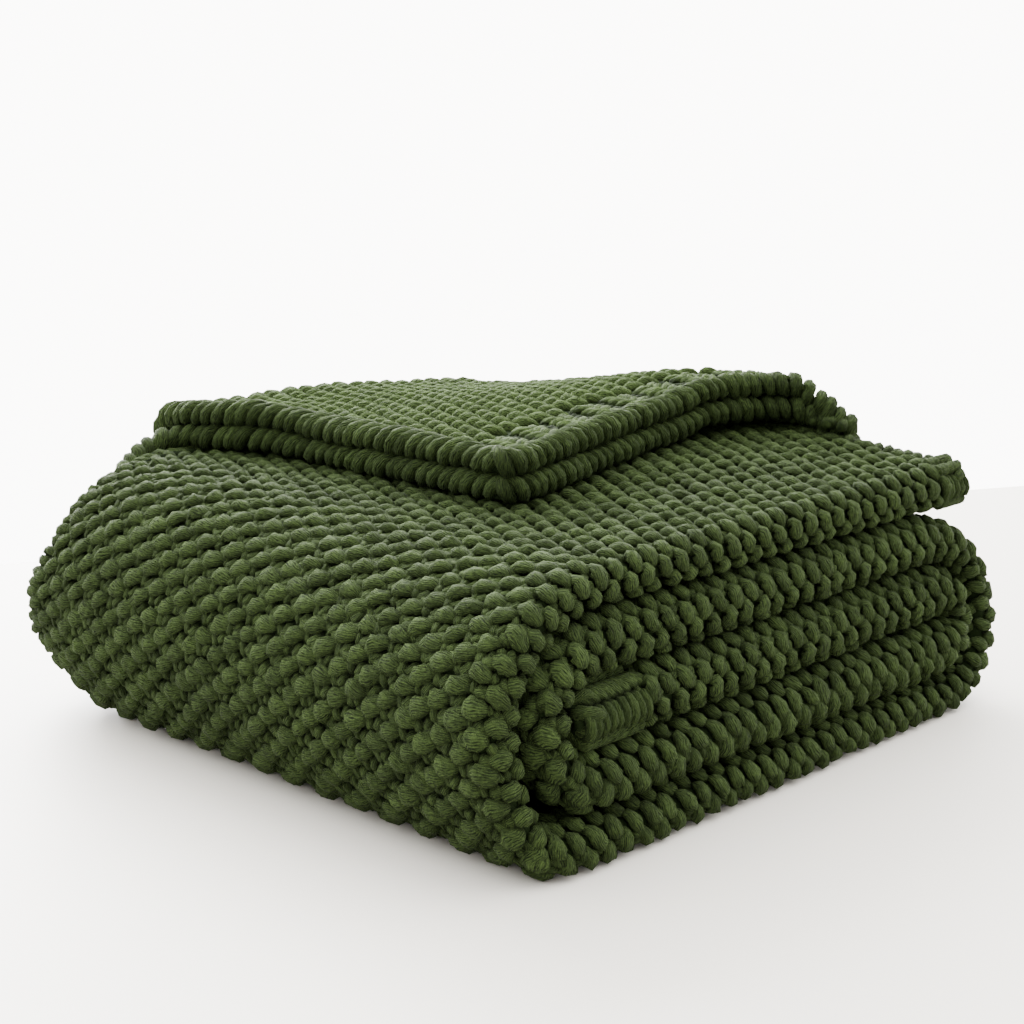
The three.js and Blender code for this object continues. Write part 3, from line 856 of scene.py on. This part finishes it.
LATTICE_SKEW = {"from_s": 250.0, "length": 190.0, "per_mm": 0.15}
WIDEST = 420.0            # no place of the strip is further than this round its front fold
HEM_A = 22.0              # length of the hem band of the outer end
HEM_C = 42.0              # and of the inner end
B_SHOWS = 80.0            # of layer B this much shows at its right end
FOLD_EDGE = {"before": 6.0, "over": 8.0, "behind": 14.0, "hem": 8.0}
COVER = {"least": 34.0, "more": 60.0, "from_x": 240.0, "span_x": 40.0, "left": 22.0}
EDGE_ROOM = 9.0           # bars keep this far from a back edge
RIM_ROOM = (7.0, 22.0)    # and those of the back rim lie this far from it
END_ROOM = (7.0, 8.0)     # and this far from the two ends of the strip
BAR_SHAPE = {"size": 0.97, "reach": 0.9}
TOP_STROKE_LIFT = -0.9    # on top the strokes lie this much deeper


def moss_places():
    """Places of the strip's bars as s and v, the share of a front fold's changes that each takes, and
    which of them lie on the top layer, in front and on the outer ply. Then the name of each one's
    piece, or none where it can't be seen. Across the strip, the stitches drift with the cloth that is
    pulled round the left end, in proportion to the way round it."""
    s, v = lattice(0.0, LINE_END, -WIDEST, WIDEST)
    pulled = np.clip(s - LATTICE_SKEW["from_s"], 0.0, LATTICE_SKEW["length"])
    v = v - LATTICE_SKEW["per_mm"] * pulled
    at = line_at(s)
    past_arc = np.abs(v) - fold_arc(at["thick"])
    room = STRIP_WIDTH - ply_off(at["thick"]) - at["set_back"] - past_arc
    x, y, z = np.moveaxis(on_strip(s, v, np.zeros(len(s))), -1, 0)
    shown_end = SPAN["B"][0] + B_SHOWS
    outer = v > 0
    on_top = s < SPAN["A"][1]
    in_front = past_arc <= FOLD_EDGE["behind"]
    bent = 1.0 - smooth((past_arc + FOLD_EDGE["before"]) / FOLD_EDGE["over"])

    near_hem = (s < HEM_A) | (s > LINE_END - HEM_C)
    cover = COVER["least"] + COVER["more"] * smooth((x - COVER["from_x"]) / COVER["span_x"])
    under_flap = on_top & (x > FLAP_LEFT["x"] + COVER["left"]) & (y > flap_front(x) + cover)
    outside = outer & (s < shown_end) & (room > EDGE_ROOM) & ~under_flap
    back_rim = (room > RIM_ROOM[0]) & (room < RIM_ROOM[1]) & (~on_top | (x < FLAP_LEFT["back_x"]))
    hem_underside = ~outer & (s < 2 * HEM_A) & (room > EDGE_ROOM)
    seen = (in_front & ~near_hem) | ((outside | back_rim | hem_underside) & (s > END_ROOM[0]))
    seen &= (s < LINE_END - END_ROOM[1]) & ~(near_hem & (past_arc < FOLD_EDGE["hem"]))

    piece = np.full(len(s), "moss_back_rim", dtype=object)
    piece[outer & on_top] = "moss_top"
    piece[outer & (s >= SPAN["A"][1]) & (s < SPAN["E"][0])] = "moss_left"
    piece[outer & (s >= SPAN["E"][0]) & (s < SPAN["E"][1])] = "moss_under"
    piece[outer & (s >= SPAN["E"][1]) & (s < shown_end)] = "moss_right"
    piece[in_front & ((s >= shown_end) | ~outer)] = "moss_front_folds"
    piece[~seen] = ""
    return s, v, bent, on_top, in_front, outer, piece


def add_strip_moss():
    """The bars of the strip, a piece for each side of the stack, and the strokes between them where
    they can be seen."""
    s, v, bent, on_top, in_front, outer, piece = moss_places()
    added = []
    for number, name in enumerate(sorted(set(piece[piece != ""]))):
        pick = piece == name
        sides = FAR_SIDES if name in ("moss_under", "moss_back_rim") else SIDES
        bars = laid_on_strip(BAR, s[pick], v[pick], seed=SEEDS["moss"] + number, bent=bent[pick],
                             sides=sides, **BAR_SHAPE)
        added.append(add_yarns(name, [bars]))

    seen = (piece != "") & outer
    left_and_top = seen & (on_top | (s < SPAN["E"][0]) | in_front)
    right_end = seen & (s > SPAN["E"][1]) & (s < SPAN["B"][0] + B_SHOWS) & ~in_front
    for name, pick in (("moss_strokes", left_and_top), ("moss_right_strokes", right_end)):
        lift = TOP_STROKE_LIFT * on_top[pick, None, None]
        strokes = [laid_on_strip(shape, s[pick], v[pick], seed=SEEDS["strokes"] + number,
                                 sides=FAR_SIDES, bent=bent[pick], lift=lift)
                   for number, shape in enumerate(STROKES)]
        added.append(add_yarns(name, strokes))
    return added


# The flap, whose rows stand a little askew to its edges

FLAP_WIDTH = FLAP_RIGHT_X["upper"] - FLAP_LEFT["x"]
FLAP_SKEW = 0.12
FLAP_MIDDLE = 240.0       # the rows turn round this length of the flap
FLAP_BORDER = 36.0        # width of its ribbed border
FLAP_PAINTED_LIGHT = 2.0           # painted light: its yarn is painted a little lighter, for the stronger light from behind that falls on the flap
FLAP_LATTICE = {"beside": 40.0, "length": 340.0}
FLAP_ROOM = {"side": 8.0, "start": 2.0, "rib_left": 10.0}
FLAP_TAIL = {"from": 218.0, "span": 14.0, "longer": 14.0}     # there the moss goes on into the border
FLAP_LAID = {"along_sign": 1.0, "across_sign": -1.0}      # it lies turned over, the other side up
FLAP_LOOSE = 0.6          # its stitches are more even than the strip's
FLAP_STROKE_LIFT = -1.5

# The ribs of the flap's border: two rows of slanted bars to a rib, and a deep slit after each
RIB_PITCH = 28.3
RIB_COUNT = 8
RIB_SHIFT = 4.0
RIB_BARS = {"first": 9.0, "pitch": 5.4}
RIB_SHADE_SHARE = 0.5           # share of the usual painted shade that ribs take on, being open to the light
# Painted shade: bars near a slit are painted dark, where the slit's shade falls
SLIT = {"from": 8.0, "over": 2.5, "shade": 0.85}
RIB_ROWS = (
    {"at": 15.1, "last": 227.0, "turn": 62.0, "side": 3.8, "size": 0.88, "lift": 0.5},
    {"at": 22.7, "last": 234.6, "turn": 118.0, "side": -3.8, "size": 0.88, "lift": 0.5},
    {"at": 4.75, "last": 241.0, "turn": 84.0, "side": 12.8, "size": 0.66, "lift": -1.8},
)


def flap_share(e, r):
    """Share of the flap's width for a stitch e mm from its left edge and r mm along it: the rows drift
    to one side in proportion to how far they are from the flap's middle."""
    return (e + FLAP_SKEW * (r - FLAP_MIDDLE)) / FLAP_WIDTH


def laid_on_flap(shape, e, r, seed, **how):
    """A group of yarns on the outside of the flap's upper ply, in its own millimetres."""
    e_yarn, r_yarn, n_yarn, tone, deep = laid(shape, e, r, seed, loose=FLAP_LOOSE, **FLAP_LAID, **how)
    rings = flap_place("upper", flap_share(e_yarn, r_yarn), r_yarn, PLY / 2 + n_yarn)
    # Painted light: the flap's yarns are painted lighter through a raised tone
    return rings, tone + FLAP_PAINTED_LIGHT, deep


def add_flap_moss():
    """The bars of the flap, up to its border, and the strokes between them."""
    beside = FLAP_LATTICE["beside"]
    e, r = lattice(-beside, FLAP_WIDTH + beside, 0.0, FLAP_LATTICE["length"])
    share = flap_share(e, r)
    side = FLAP_ROOM["side"] / FLAP_WIDTH
    tail = FLAP_TAIL["longer"] * smooth((share * FLAP_WIDTH - FLAP_TAIL["from"]) / FLAP_TAIL["span"])
    border = flap_length("upper", np.clip(share, 0, 1)) - FLAP_BORDER + tail
    keep = (share > side) & (share < 1 - side) & (r > FLAP_ROOM["start"]) & (r < border)
    e, r = e[keep], r[keep]
    bars = laid_on_flap(BAR, e, r, seed=SEEDS["flap"], yarn=FLAP_YARN)
    strokes = [laid_on_flap(shape, e, r, seed=SEEDS["flap_strokes"] + number, sides=FAR_SIDES,
                            lift=FLAP_STROKE_LIFT)
               for number, shape in enumerate(STROKES)]
    return [add_yarns("moss_flap", [bars]), add_yarns("moss_flap_strokes", strokes)]


def border_row(row, seed):
    """One row of bars in every rib of the flap's border, back from its front edge at an even pitch. Points
    further than a smooth step off the middle of their rib are painted dark, as painted shade of the slit."""
    start = np.append(np.arange(-1, RIB_COUNT) * RIB_PITCH + row["at"], row["last"])
    start, back = np.meshgrid(start, np.arange(RIB_BARS["first"], FLAP_BORDER, RIB_BARS["pitch"]),
                              indexing="ij")
    u = (start.ravel() + RIB_SHIFT) / FLAP_WIDTH
    inside = (u > FLAP_ROOM["rib_left"] / FLAP_WIDTH) & (u < 1 - FLAP_ROOM["side"] / FLAP_WIDTH)
    u, back = u[inside], back.ravel()[inside]
    e, r, n, tone, deep = laid(RIB_BAR, u * FLAP_WIDTH, flap_length("upper", u) - back, seed,
                               turn=row["turn"], size=row["size"], lift=row["lift"], **FLAP_LAID)
    off_middle = np.abs(e - (u * FLAP_WIDTH + row["side"])[:, None, None])
    slit = SLIT["shade"] * smooth((off_middle - SLIT["from"]) / SLIT["over"])
    rings = flap_place("upper", e / FLAP_WIDTH, r, PLY / 2 + n)
    # Painted light on the ribs' tone, as on the flap, and painted shade of the slit and of depth
    return rings, tone + FLAP_PAINTED_LIGHT, np.maximum(RIB_SHADE_SHARE * deep, slit)


def add_border_ribs():
    """The ribs of the flap's border, row by row."""
    rows = [border_row(row, SEEDS["border_ribs"] + number) for number, row in enumerate(RIB_ROWS)]
    return [add_yarns("border_ribs", rows)]


# Bound edges

PLAIN_WRAPS = {"pitch": 6.3, "size": 1.0, "slant": 1.0}
FLAP_SIDE_WRAPS = {"pitch": 8.0, "size": 1.22, "slant": -1.5}
FLAP_FRONT_WRAPS = {"pitch": 7.8, "size": 1.22, "slant": 0.8}
WRAP_LOOSE = {"along": 0.09, "size": 0.07, "uneven": 0.28}
# Painted shade: the parts of a wrap that reach into the cloth are painted darker
WRAP_SHADE = {"from": -7.0, "span": 6.0}
BACK_EDGE_SHORT = 2.5     # the binding of the back edges lies this far inside them
EDGE_ABOVE = 2.0          # of the two places beside an edge, one is this far above it
EDGE_INSIDE = 8.0         # and the other this far inside the cloth
END_SHOWS = {"A": 345.0, "C": 90.0}     # how far the end of a layer is bound, round its front fold
END_PLACE = {"end": 3.0, "fold": 2.0}   # the binding's distance from the end and from the fold
END_PLACES = 120          # from which its line is drawn
FLAP_SIDE = {"u": 0.008, "inwards": 0.03, "from": 2.0, "short": 6.0, "places": 160}
FLAP_FRONT = {"u": 0.004, "short": 2.0, "places": 260}


def wraps(edge, above, inside, seed, pitch, size, slant):
    """A group of the wraps of a bound edge. The edge is a line of places, each with one just above it
    and one further inside the cloth. Wraps are evenly spaced along it, each in the frame of the
    edge's own direction, the direction out past it and the one through the cloth."""
    rng = np.random.default_rng(seed)
    gone = np.concatenate([[0.0], np.cumsum(np.linalg.norm(np.diff(edge, axis=0), axis=-1))])
    at = np.arange(pitch / 2, gone[-1], pitch)
    at = np.clip(at + rng.normal(0.0, WRAP_LOOSE["along"] * pitch, len(at)), 0.0, gone[-1])
    along = unit(np.gradient(edge, gone, axis=0))
    through = unit(above - edge)
    through = unit(through - along * np.sum(through * along, -1, keepdims=True))
    out = np.cross(through, along)
    out = out * np.sign(np.sum(out * (edge - inside), -1, keepdims=True))
    middle, *ways = [np.stack([np.interp(at, gone, line[:, axis]) for axis in range(3)], -1)
                     for line in (edge, along, out, through)]
    shape = WRAP * np.array([slant, 1.0, 1.0, 1.0])
    rings = tube_rings(shape[:, :3], shape[:, 3], SIDES, above=(1.0, 0.0, 0.0)) * size
    scale = rng.normal(1.0, WRAP_LOOSE["size"], len(at))[:, None, None, None]
    local = rings[None] * scale + rng.normal(0.0, WRAP_LOOSE["uneven"], (len(at), *rings.shape))
    # Painted shade of the wrap's parts deep in the cloth
    deep = smooth((WRAP_SHADE["from"] - rings[..., 1]) / WRAP_SHADE["span"]) * np.ones((len(at), 1, 1))
    placed = middle[:, None, None] + sum(local[..., axis, None] * way[:, None, None]
                                         for axis, way in enumerate(ways))
    return placed, rng.uniform(0.0, 1.0, len(at)), deep


def back_edge(angle):
    """The back edge of one ply of the strip (angle 0 outer, half a turn inner), at every second place of
    its middle line, from where the flap leaves the top layer to the strip's end."""
    on_top = LINE["s"] < SPAN["A"][1]
    start = np.interp(-FLAP_LEFT["back_x"], -LINE["x"][on_top], LINE["s"][on_top])
    at = line_at(np.arange(start, LINE_END, 2 * LINE_STEP))
    off = ply_off(at["thick"])
    behind = STRIP_WIDTH - BACK_EDGE_SHORT - off - at["set_back"]
    return (strip_place(at, behind, angle, off), strip_place(at, behind, angle, off + EDGE_ABOVE),
            strip_place(at, behind - EDGE_INSIDE, angle, off))


def strip_end(layer, side):
    """The edge of a ply at one end of the strip, a little inside it, from its front fold as far as it
    shows. The side is 1 for the outer ply and -1 for the inner one."""
    v = np.linspace(END_PLACE["fold"], END_SHOWS[layer], END_PLACES) * side
    s = END_PLACE["end"] if layer == "A" else LINE_END - END_PLACE["end"]
    inwards = EDGE_INSIDE if layer == "A" else -EDGE_INSIDE
    ones = np.ones(len(v))
    middle = -PLY / 2
    return (on_strip(s * ones, v, middle * ones), on_strip(s * ones, v, (middle + EDGE_ABOVE) * ones),
            on_strip((s + inwards) * ones, v, middle * ones))


def flap_side(name, side):
    """The left (-1) or right (1) edge of a flap ply, at an even share of its width, from the back fold
    to the front edge."""
    u = FLAP_SIDE["u"] if side < 0 else 1.0 - FLAP_SIDE["u"]
    end = float(flap_length(name, np.array(u))) - FLAP_SIDE["short"]
    path = np.linspace(FLAP_SIDE["from"], end, FLAP_SIDE["places"])
    return (flap_place(name, u, path, 0.0), flap_place(name, u, path, EDGE_ABOVE),
            flap_place(name, u - side * FLAP_SIDE["inwards"], path, 0.0))


def flap_front_edge(name):
    """The front edge of a flap ply, a little inside it, from left to right."""
    u = np.linspace(FLAP_FRONT["u"], 1.0 - FLAP_FRONT["u"], FLAP_FRONT["places"])
    path = flap_length(name, u) - FLAP_FRONT["short"]
    return (flap_place(name, u, path, 0.0), flap_place(name, u, path, EDGE_ABOVE),
            flap_place(name, u, path - EDGE_INSIDE, 0.0))


def add_bound_edges():
    """The ropes of wraps round the back edges of the strip, round its two ends and round the flap."""
    plies = ("upper", "lower")
    flap_sides = [(flap_side(name, side), FLAP_SIDE_WRAPS) for side in (-1, 1) for name in plies]
    flap_fronts = [(flap_front_edge(name), FLAP_FRONT_WRAPS) for name in plies]
    pieces = {
        "back_edges": [(back_edge(angle), PLAIN_WRAPS) for angle in (0.0, math.pi)],
        "end_edges": [(strip_end(layer, side), PLAIN_WRAPS) for layer in ("A", "C") for side in (1, -1)],
        "flap_edges": flap_sides + flap_fronts,
    }
    added = []
    seed = SEEDS["wraps"]
    for name, edges in pieces.items():
        added.append(add_yarns(name, [wraps(*edge, seed + number, **how)
                                      for number, (edge, how) in enumerate(edges)]))
        seed += len(edges)
    return added


# Hem bands of the two ends, which show on the front folds

# Each has ridges along the strip (their place round the fold and their radius), ribs that stand round
# the fold between them (their place and size), and at the inner end a rope of slanted bars.
HEMS = (
    {"s": (LINE_END - HEM_C, LINE_END - 1.0), "cords": ((24.0, 4.0), (-16.0, 4.6)),
     "ribs": (-2.0, 0.86), "rope": 14.5},
    {"s": (1.0, HEM_A + 2.0), "cords": ((19.0, 4.0), (10.5, 3.6), (-13.0, 3.6)),
     "ribs": (-1.5, 0.8), "rope": None},
)
HEM_START = 2.0           # its first rib is this far from its start
HEM_LOOSE = 0.5
CORD = {"places": 24, "sunk": 0.55, "wave": 0.35, "wave_turn": 1.1, "swell": 0.05, "swell_turn": 1.7,
        "end": 0.5, "tone": 0.4}
RIBS = {"pitch": 4.7, "short": 1.0, "lift": 0.9, "longer": 1.45}
ROPE = {"pitch": 5.0, "turn": 48.0, "size": 1.12}


def hem_cord(hem, v, radius):
    """Rings of one ridge of a hem: a tube along the strip, half sunk, that wanders and swells a little
    as sines of its length, and thins at its ends."""
    s = np.linspace(*hem["s"], CORD["places"])
    wander = CORD["wave"] * np.sin(CORD["wave_turn"] * s + v)
    path = on_strip(s, v + wander, np.full(len(s), -radius * CORD["sunk"]))
    size = radius * (1.0 + CORD["swell"] * np.sin(CORD["swell_turn"] * s))
    size[[0, -1]] *= CORD["end"]
    return tube_rings(path[None], size[None], SIDES)


def hem_ribs(hem, seed):
    """A group of ribs across a hem, at an even pitch, stretched round the fold from their middles."""
    s_from, s_to = hem["s"]
    v_rib, size = hem["ribs"]
    s = np.arange(s_from + HEM_START, s_to - RIBS["short"], RIBS["pitch"])
    s_yarn, v_yarn, n_yarn, tone, deep = laid(RIB_BAR, s, np.full(len(s), v_rib), seed, size=size,
                                              lift=RIBS["lift"], loose=HEM_LOOSE, yarn=FLAP_YARN)
    return on_strip(s_yarn, mix(v_rib, v_yarn, RIBS["longer"]), n_yarn), tone, deep


def hem_rope(hem, seed):
    """A group of slanted bars, at an even pitch along a hem."""
    s = np.arange(hem["s"][0] + HEM_START, hem["s"][1], ROPE["pitch"])
    return laid_on_strip(RIB_BAR, s, np.full(len(s), hem["rope"]), seed, turn=ROPE["turn"],
                         size=ROPE["size"], loose=HEM_LOOSE)


def add_hem_bands():
    """The ribs and the rope of both hems as one piece, and their ridges as another."""
    inner_hem, outer_hem = HEMS
    groups = [hem_ribs(inner_hem, SEEDS["hem_ribs"]), hem_rope(inner_hem, SEEDS["hem_rope"]),
              hem_ribs(outer_hem, SEEDS["hem_ribs"] + 1)]
    cords = np.concatenate([hem_cord(hem, *cord) for hem in HEMS for cord in hem["cords"]])
    plain = (cords, np.full(len(cords), CORD["tone"]), np.zeros(cords.shape[:3]))
    return [add_yarns("hem_ribs", groups), add_yarns("hem_cords", [plain])]


ground = add_ground()
yarns = add_strip_moss() + add_flap_moss() + add_border_ribs() + add_bound_edges() + add_hem_bands()

# Table top, light and camera, in metres

TABLE = {"forward": (0.463, 0.886, 0.0), "sideways": (0.886, -0.463, 0.0), "far": 0.37, "near": -3.5,
         "half": 4.0}
AIM = (0.0, 0.0, 0.05)
SOFT_LIGHTS = (
    {"name": "soft_light_behind", "place": (0.95, 1.95, 0.85), "size": 2.0, "power": 580.0},
    {"name": "soft_light_left", "place": (-1.9, 1.1, 1.2), "size": 1.4, "power": 14.0},
)
ROOM = {"towards": (0.58, 0.70, 0.42), "from": -0.4, "to": 0.9, "dim": 1.9, "bright": 11.2}
UNDER = {"from": 0.0, "to": -0.1, "bright": 4.0}
ROOM_TINT = (1.0, 0.985, 0.95, 1.0)
CAMERA = {"place": (-0.7036, -0.6875, 0.325), "plan": (0.7193, 0.6947), "pitch": 12.9, "lens": 66.13,
          "sensor": 36.0}


def matt_white_lacquer():
    """Matt white lacquer, sprayed: an even pale surface with only a soft, wide shine."""
    material, tree = new_material("matt_white_lacquer")
    shader = add(tree, "ShaderNodeBsdfPrincipled", Base_Color=colour("#bebbb5"), Roughness=0.55)
    add(tree, "ShaderNodeOutputMaterial", Surface=shader.outputs[0])
    return material


def add_table_top():
    """A wide white table top, level with the underside of the throw, its far edge just behind it: a
    rectangle from near to far, and half its width to either side."""
    forward, sideways = np.array(TABLE["forward"]), np.array(TABLE["sideways"])
    corners = [forward * TABLE[end] + sideways * TABLE["half"] * side
               for end, side in (("near", -1), ("near", 1), ("far", 1), ("far", -1))]
    mesh = bpy.data.meshes.new("floor")
    mesh.from_pydata([tuple(corner) for corner in corners], [], [(0, 1, 2, 3)])
    mesh.materials.append(matt_white_lacquer())
    floor = bpy.data.objects.new("floor", mesh)
    bpy.context.collection.objects.link(floor)


def add_soft_light(name, place, size, power):
    """A square soft light at a place, turned towards the throw."""
    data = bpy.data.lights.new(name, "AREA")
    data.shape = "SQUARE"
    data.size = size
    data.energy = power
    lamp = bpy.data.objects.new(name, data)
    lamp.location = place
    lamp.rotation_euler = (Vector(AIM) - Vector(place)).to_track_quat("-Z", "Y").to_euler()
    bpy.context.collection.objects.link(lamp)


def add_room():
    """The pale room: bright on the side of the light behind the throw, and dim on the camera's side.
    The strength grows smoothly with how far a direction points that way, and it is bright below the
    table top too."""
    world = bpy.data.worlds.new("pale_room")
    world.use_nodes = True
    tree = world.node_tree
    direction = add(tree, "ShaderNodeTexCoord").outputs["Generated"]
    towards = add(tree, "ShaderNodeVectorMath", {"operation": "DOT_PRODUCT"},
                  in_0=direction, in_1=ROOM["towards"])
    room = add(tree, "ShaderNodeMapRange", {"interpolation_type": "SMOOTHSTEP"},
               Value=towards.outputs["Value"], in_1=ROOM["from"], in_2=ROOM["to"],
               in_3=ROOM["dim"], in_4=ROOM["bright"])
    height = add(tree, "ShaderNodeSeparateXYZ", Vector=direction)
    under = add(tree, "ShaderNodeMapRange", Value=height.outputs[2], in_1=UNDER["from"],
                in_2=UNDER["to"], in_3=0.0, in_4=UNDER["bright"])
    strength = add(tree, "ShaderNodeMath", {"operation": "MAXIMUM"},
                   in_0=room.outputs[0], in_1=under.outputs[0])
    backdrop = tree.nodes["Background"]
    backdrop.inputs[0].default_value = ROOM_TINT
    tree.links.new(strength.outputs[0], backdrop.inputs[1])
    bpy.context.scene.world = world


def add_camera():
    """The camera of the view: its place in the frame, its direction in plan and its downward pitch."""
    data = bpy.data.cameras.new("camera")
    data.lens = CAMERA["lens"]
    data.sensor_width = CAMERA["sensor"]
    camera = bpy.data.objects.new("camera", data)
    camera.location = CAMERA["place"]
    camera.rotation_euler = (math.radians(90.0 - CAMERA["pitch"]), 0.0, -math.atan2(*CAMERA["plan"]))
    bpy.context.collection.objects.link(camera)
    bpy.context.scene.camera = camera


add_table_top()
for soft_light in SOFT_LIGHTS:
    add_soft_light(**soft_light)
add_room()
add_camera()
